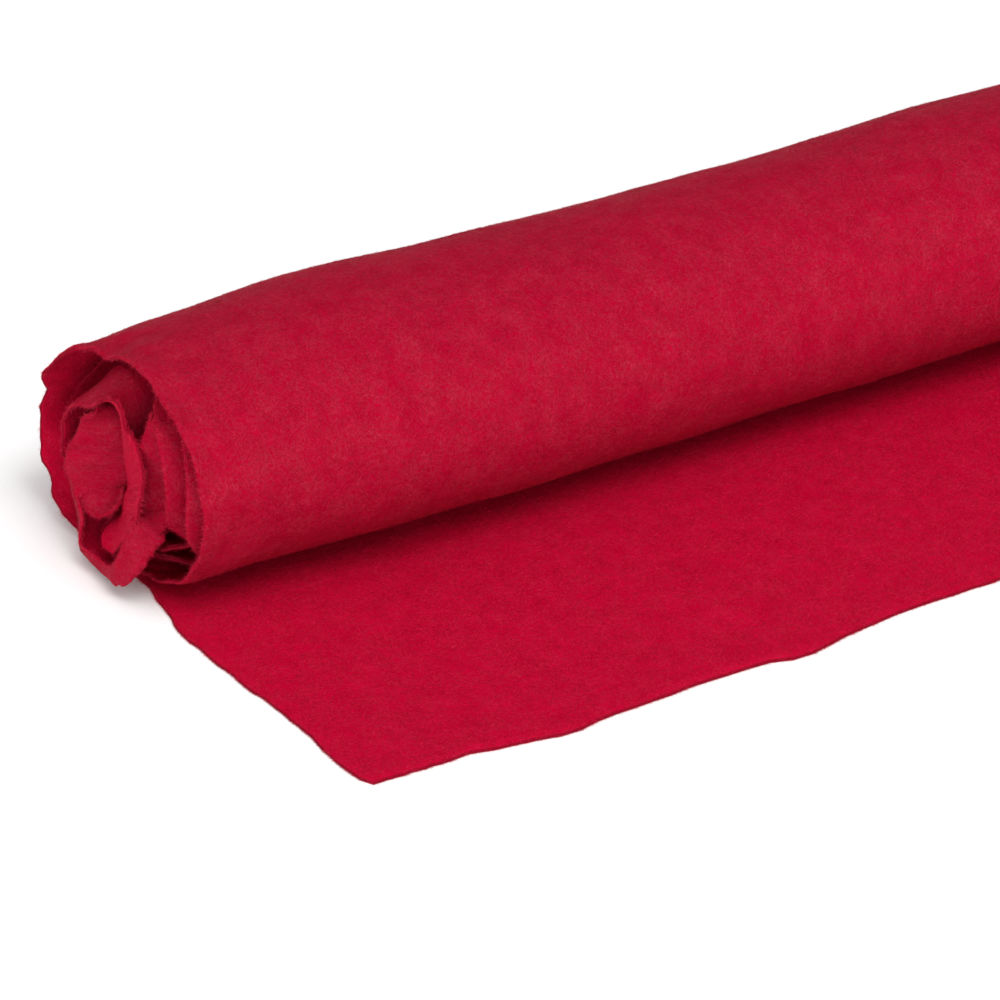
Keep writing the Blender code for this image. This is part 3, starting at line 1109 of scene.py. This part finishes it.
class FELT_OT_nap(Operator):
    """Grow loose fibres on the cloth's faces and cut edges"""

    bl_idname = "felt.nap"
    bl_label = "Nap"

    def execute(self, context):
        felt = context.scene.felt_cloth
        nap = context.scene.felt_nap
        thickness = felt.thickness / MM
        grid = cloth_grid(felt.width / MM, thickness, felt.turns)[0]
        normal = grid_normals(grid)
        outer = in_frame(grid + normal * thickness / 2.0)
        inner = in_frame(grid - normal * thickness / 2.0)
        tree = nap_tree()
        # The inside and edge fibres are painted lighter (painted light); all carry painted sheen
        # patches
        outer_nap = nap_material("nap fibres", felt, 1.0, felt.bloom)
        inner_nap = nap_material("nap fibres inside", felt, felt.inner_painted_light, felt.inner_painted_sheen)
        hair_nap = nap_material("long hairs", felt, felt.hair_pale, felt.bloom)
        edge_nap = nap_material("edge fibres", felt, felt.edge_nap_painted_light, felt.bloom)
        last = grid.shape[0]
        free = (0, FREE_COLUMNS + 1)
        half_way = FREE_COLUMNS + int(BACK_NAP_TO * OUTER_COLUMNS)
        full_turn = FREE_COLUMNS + int(FRONT_NAP_TO * OUTER_COLUMNS)
        every = (0, grid.shape[1])
        near_end = (0, int(np.searchsorted(stations(felt.width / MM), END_NAP)))
        side_edge = np.stack((outer[:, 0], inner[:, 0]), axis=1)
        front_edge = np.stack((outer[0], inner[0]), axis=1)
        short = (nap.density, nap.length, 0.0, nap.lift)
        long = (nap.long_density, nap.long_length, 0.0, nap.lift * HAIR_LIFT)
        edge = (nap.edge_density, nap.edge_length, *EDGE_LIFT)
        back = (FREE_COLUMNS + 1, half_way + 1)
        patches = (
            ("nap_free_end", inner, free, every, True, short, inner_nap),
            ("nap_back", outer, back, every, False, short, outer_nap),
            ("nap_front", outer, (half_way, full_turn), every, False, short, outer_nap),
            ("nap_end_outside", outer, (full_turn, last), near_end, False, short, outer_nap),
            ("nap_end_inside", inner, (FREE_COLUMNS, last), near_end, True, short, inner_nap),
            ("hairs_free_end", inner, free, every, True, long, hair_nap),
            ("hairs_roll", outer, (back[0], full_turn), every, False, long, hair_nap),
            ("nap_side_edge", side_edge, (0, last), (0, 2), True, edge, edge_nap),
            ("nap_front_edge", front_edge, every, (0, 2), False, edge, edge_nap),
        )
        made = []
        for number, (name, surface, rows, columns, turn_over, kind, wool) in enumerate(patches):
            points, faces = grid_patch(surface, rows, columns)
            if turn_over:
                faces = [tuple(reversed(face)) for face in faces]
            values = {"Width": nap.fibre_width, "Roll": nap.roll, "Seed": nap.seed + number,
                      "Material": wool}
            values.update(zip(("Density", "Length", "Least Lift", "Most Lift"), kind))
            made.append(grow_nap(name, points, faces, tree, values))
        for piece in made:
            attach(piece, "root")
        return {"FINISHED"}


def toward(azimuth, elevation):
    """Direction from the roll to a place round it and above the floor."""
    level = math.cos(elevation)
    return Vector((math.sin(azimuth) * level, -math.cos(azimuth) * level, math.sin(elevation)))


class FELT_OT_stage(Operator):
    """Make the floor, the lights and the camera"""

    bl_idname = "felt.stage"
    bl_label = "Stage"

    def execute(self, context):
        stage = context.scene.felt_stage
        scene = context.scene
        corners = np.array([(-1, -1, 0), (1, -1, 0), (1, 1, 0), (-1, 1, 0)])
        floor = add_piece("floor", corners * FLOOR_HALF, [(0, 1, 2, 3)])
        paint, tree, shader = new_material("pale floor")
        fill(tree, shader, {"Base Color": (*stage.floor_colour, 1.0), "Roughness": 0.9})
        floor.data.materials.append(paint)

        world = bpy.data.worlds.new("studio")
        world.use_nodes = True
        fill(world.node_tree, world.node_tree.nodes["Background"], {
            "Color": (1.0, 1.0, 1.0, 1.0), "Strength": stage.world_strength})
        scene.world = world
        lights = (
            ("main light", 10.0, 55.0, stage.main_strength),
            ("high light", -30.0, 68.0, stage.high_strength),
            ("low light", -30.0, 12.0, stage.low_strength),
            ("left light", -95.0, 25.0, stage.left_strength),
        )
        for name, azimuth, elevation, strength in lights:
            lamp = bpy.data.lights.new(name, "SUN")
            lamp.angle = stage.softness
            lamp.energy = strength
            item = bpy.data.objects.new(name, lamp)
            item.location = toward(math.radians(azimuth), math.radians(elevation)) * LAMP_DISTANCE
            item.rotation_euler = (-item.location).to_track_quat("-Z", "Y").to_euler()
            scene.collection.objects.link(item)

        back = toward(stage.azimuth, stage.elevation)
        right = Vector((math.cos(stage.azimuth), math.sin(stage.azimuth), 0.0))
        data = bpy.data.cameras.new("camera")
        data.lens = stage.lens
        data.sensor_width = 36.0
        camera = bpy.data.objects.new("camera", data)
        turned = Matrix((right, back.cross(right), back)).transposed().to_4x4()
        looks_at = Vector((VIEW_X - ORIGIN_X, VIEW_Y - ORIGIN_Y, 0.0)) * MM
        turned.translation = looks_at + back * stage.distance
        camera.matrix_world = turned
        scene.collection.objects.link(camera)
        scene.camera = camera
        scene.view_settings.view_transform = "Standard"
        return {"FINISHED"}


class FELT_PT_roll(Panel):
    """Lists the makers of the roll's pieces"""

    bl_label = "Roll of Felt"
    bl_idname = "FELT_PT_roll"
    bl_space_type = "VIEW_3D"
    bl_region_type = "UI"
    bl_category = "Felt"

    def draw(self, context):
        for settings, maker in (("felt_cloth", FELT_OT_cloth), ("felt_nap", FELT_OT_nap),
                                ("felt_stage", FELT_OT_stage)):
            box = self.layout.box()
            group = getattr(context.scene, settings)
            for name in group.__annotations__:
                box.prop(group, name)
            box.operator(maker.bl_idname)


CLASSES = (FeltCloth, FeltNap, FeltStage, FELT_OT_cloth, FELT_OT_nap, FELT_OT_stage, FELT_PT_roll)


def register():
    """Add the classes and their settings."""
    for item in CLASSES:
        bpy.utils.register_class(item)
    bpy.types.Scene.felt_cloth = PointerProperty(type=FeltCloth)
    bpy.types.Scene.felt_nap = PointerProperty(type=FeltNap)
    bpy.types.Scene.felt_stage = PointerProperty(type=FeltStage)


def unregister():
    """Remove the classes and their settings."""
    for name in ("felt_cloth", "felt_nap", "felt_stage"):
        delattr(bpy.types.Scene, name)
    for item in reversed(CLASSES):
        bpy.utils.unregister_class(item)


def main():
    """Make the roll and its stage."""
    register()
    bpy.ops.felt.cloth()
    bpy.ops.felt.nap()
    bpy.ops.felt.stage()
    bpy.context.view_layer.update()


if __name__ == "__main__":
    main()
